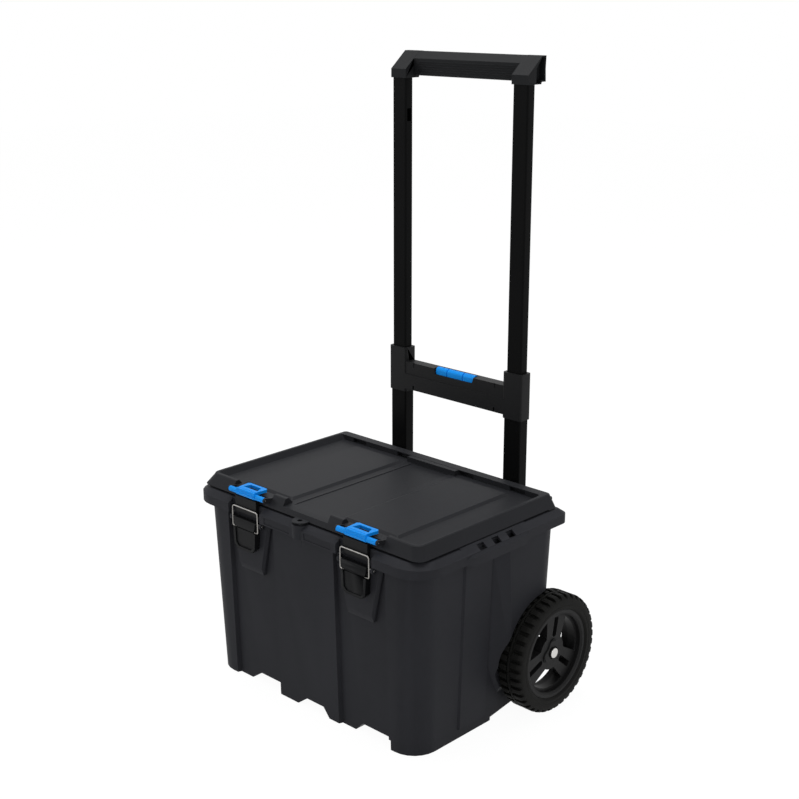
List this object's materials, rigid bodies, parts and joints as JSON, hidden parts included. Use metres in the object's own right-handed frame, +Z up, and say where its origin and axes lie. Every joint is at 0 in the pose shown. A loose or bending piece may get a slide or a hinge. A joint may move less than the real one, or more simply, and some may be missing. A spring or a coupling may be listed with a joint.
{
  "type": "rolling toolbox",
  "caption": "Lidded tool tub on two wheels, with draw latches at the front, stacking latches on the lid and a telescopic pull handle behind.",
  "frame": {"origin": "on the floor, at the middle of the whole object's width and depth", "axes": "+Z up, +Y towards the pull handle, +X to the right of someone who faces the latches"},
  "size_m": [0.593, 0.4168, 1.0385],
  "materials": {
    "tub_plastic": "fine-grained charcoal moulding",
    "lid_plastic": "fine-grained dark grey moulding",
    "handle_plastic": "grained moulding",
    "latch_plastic": "satin moulding",
    "accent_plastic": "bright blue, half gloss",
    "tube_coating": "black satin powder coat",
    "bright_steel": "bright zinc plate",
    "wheel_plastic": "satin moulding",
    "tyre_rubber": "matt rubber",
    "seal_rubber": "matt foam rubber"
  },
  "bodies": {
    "tub": {"tub_shell": "tub_plastic", "lid_hinge_rod": "bright_steel", "latch_pin_left": "bright_steel", "latch_pin_right": "bright_steel", "outer_tube_left": "tube_coating", "outer_tube_right": "tube_coating", "handle_bridge": "handle_plastic", "bridge_rear_cover": "handle_plastic", "cover_screw_1": "bright_steel", "cover_screw_2": "bright_steel", "button_spring": "bright_steel", "upper_bracket_left": "handle_plastic", "upper_bracket_right": "handle_plastic", "lower_bracket_left": "handle_plastic", "lower_bracket_right": "handle_plastic", "upper_screw_left_1": "bright_steel", "upper_screw_left_2": "bright_steel", "upper_screw_right_1": "bright_steel", "upper_screw_right_2": "bright_steel", "lower_screw_left_1": "bright_steel", "lower_screw_left_2": "bright_steel", "lower_screw_right_1": "bright_steel", "lower_screw_right_2": "bright_steel", "wheel_axle": "bright_steel", "wheel_washer_left": "bright_steel", "wheel_washer_right": "bright_steel", "push_nut_left": "bright_steel", "push_nut_right": "bright_steel"},
    "lid": {"lid_panel": "lid_plastic", "lid_gasket": "seal_rubber", "stack_latch_pin_left": "bright_steel", "stack_latch_pin_right": "bright_steel"},
    "lever_left": {"latch_lever_left": "latch_plastic"},
    "lever_right": {"latch_lever_right": "latch_plastic"},
    "bail_left": {"latch_bail_left": "bright_steel"},
    "bail_right": {"latch_bail_right": "bright_steel"},
    "stack_left": {"stack_latch_left": "accent_plastic"},
    "stack_right": {"stack_latch_right": "accent_plastic"},
    "handle": {"pull_grip": "handle_plastic", "inner_tube_left": "tube_coating", "inner_tube_right": "tube_coating", "tube_glide_left": "latch_plastic", "tube_glide_right": "latch_plastic"},
    "button": {"release_button": "accent_plastic"},
    "bolt_left": {"lock_bolt_left": "bright_steel"},
    "bolt_right": {"lock_bolt_right": "bright_steel"},
    "wheel_left": {"wheel_rim_left": "wheel_plastic", "tyre_left": "tyre_rubber"},
    "wheel_right": {"wheel_rim_right": "wheel_plastic", "tyre_right": "tyre_rubber"}
  },
  "joints": [
    {"name": "lid_hinge", "type": "hinge", "parent": "tub", "child": "lid", "pos_m": [0, 0.14565, 0.3385], "axis": [-1, 0, 0], "range_deg": [0, 88]},
    {"name": "lever_left_turn", "type": "hinge", "parent": "tub", "child": "lever_left", "pos_m": [-0.128, -0.19735, 0.3], "axis": [-1, 0, 0], "range_deg": [0, 90]},
    {"name": "lever_right_turn", "type": "hinge", "parent": "tub", "child": "lever_right", "pos_m": [0.128, -0.19735, 0.3], "axis": [-1, 0, 0], "range_deg": [0, 90]},
    {"name": "bail_left_turn", "type": "hinge", "parent": "lever_left", "child": "bail_left", "pos_m": [-0.128, -0.20165, 0.287], "axis": [-1, 0, 0], "range_deg": [-90, 0]},
    {"name": "bail_right_turn", "type": "hinge", "parent": "lever_right", "child": "bail_right", "pos_m": [0.128, -0.20165, 0.287], "axis": [-1, 0, 0], "range_deg": [-90, 0]},
    {"name": "stack_left_turn", "type": "hinge", "parent": "lid", "child": "stack_left", "pos_m": [-0.128, -0.19535, 0.3465], "axis": [1, 0, 0], "range_deg": [0, 100]},
    {"name": "stack_right_turn", "type": "hinge", "parent": "lid", "child": "stack_right", "pos_m": [0.128, -0.19535, 0.3465], "axis": [1, 0, 0], "range_deg": [0, 100]},
    {"name": "handle_slide", "type": "slide", "parent": "tub", "child": "handle", "axis": [0, 0, 1], "range_m": [-0.44, 0]},
    {"name": "button_press", "type": "slide", "parent": "tub", "child": "button", "axis": [0, 0, -1], "range_m": [0, 0.005], "stiffness_N_per_m": 800, "springref_m": -0.004, "deforming": ["button_spring"]},
    {"name": "bolt_left_slide", "type": "slide", "parent": "tub", "child": "bolt_left", "axis": [1, 0, 0], "range_m": [0, 0.005]},
    {"name": "bolt_right_slide", "type": "slide", "parent": "tub", "child": "bolt_right", "axis": [-1, 0, 0], "range_m": [0, 0.005]},
    {"name": "wheel_left_spin", "type": "hinge", "parent": "tub", "child": "wheel_left", "pos_m": [0, 0.09415, 0.1005], "axis": [1, 0, 0], "continuous": true},
    {"name": "wheel_right_spin", "type": "hinge", "parent": "tub", "child": "wheel_right", "pos_m": [0, 0.09415, 0.1005], "axis": [1, 0, 0], "continuous": true}
  ],
  "couplings": [
    {"joint": "bail_left_turn", "follows": "lever_left_turn", "ratio": -1},
    {"joint": "bail_right_turn", "follows": "lever_right_turn", "ratio": -1},
    {"joint": "bolt_left_slide", "follows": "button_press", "ratio": 1},
    {"joint": "bolt_right_slide", "follows": "button_press", "ratio": 1}
  ]
}
